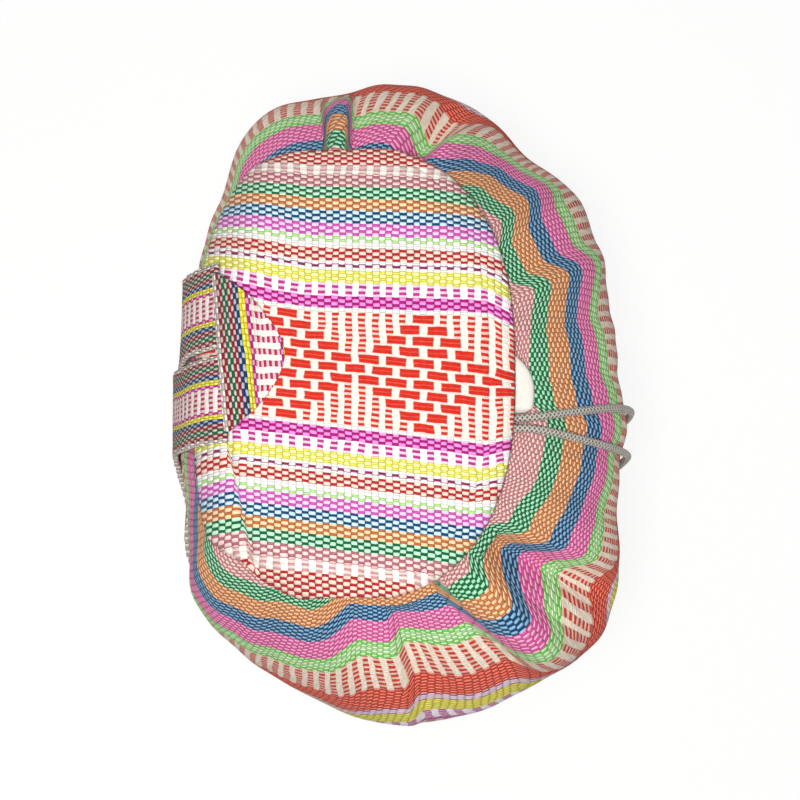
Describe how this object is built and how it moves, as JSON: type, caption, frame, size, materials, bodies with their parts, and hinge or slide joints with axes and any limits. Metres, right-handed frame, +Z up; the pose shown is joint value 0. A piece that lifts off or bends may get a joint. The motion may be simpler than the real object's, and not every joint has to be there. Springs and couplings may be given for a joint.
{
  "type": "woven drawstring backpack",
  "caption": "Soft drawstring backpack of hand-woven striped cloth, gathered at the mouth under a sewn-on lid flap, with woven shoulder straps, cotton lining and a braided cord",
  "frame": {"origin": "middle of the base panel's underside, on the floor the bag stands on", "axes": "+Z up, the front with the drawstring faces -Y, the shoulder straps are at the back (+Y), +X to the right seen from the front"},
  "size_m": [0.3228, 0.2351, 0.3091],
  "materials": {
    "woven_cloth": "coarse multicolour striped handweave, matt",
    "woven_band": "dense striped woven band, matt",
    "white_cotton": "plain cotton, matt",
    "braided_cord": "braided cotton cord, matt"
  },
  "bodies": {
    "root": {"body": "woven_cloth", "base_panel": "woven_cloth", "lining": "white_cotton", "lid": "woven_cloth", "left_strap": "woven_band", "right_strap": "woven_band", "strap_patch": "woven_band", "drawstring_loop": "braided_cord", "left_tail": "braided_cord", "left_knot": "braided_cord", "right_tail": "braided_cord", "right_knot": "braided_cord"}
  },
  "joints": []
}
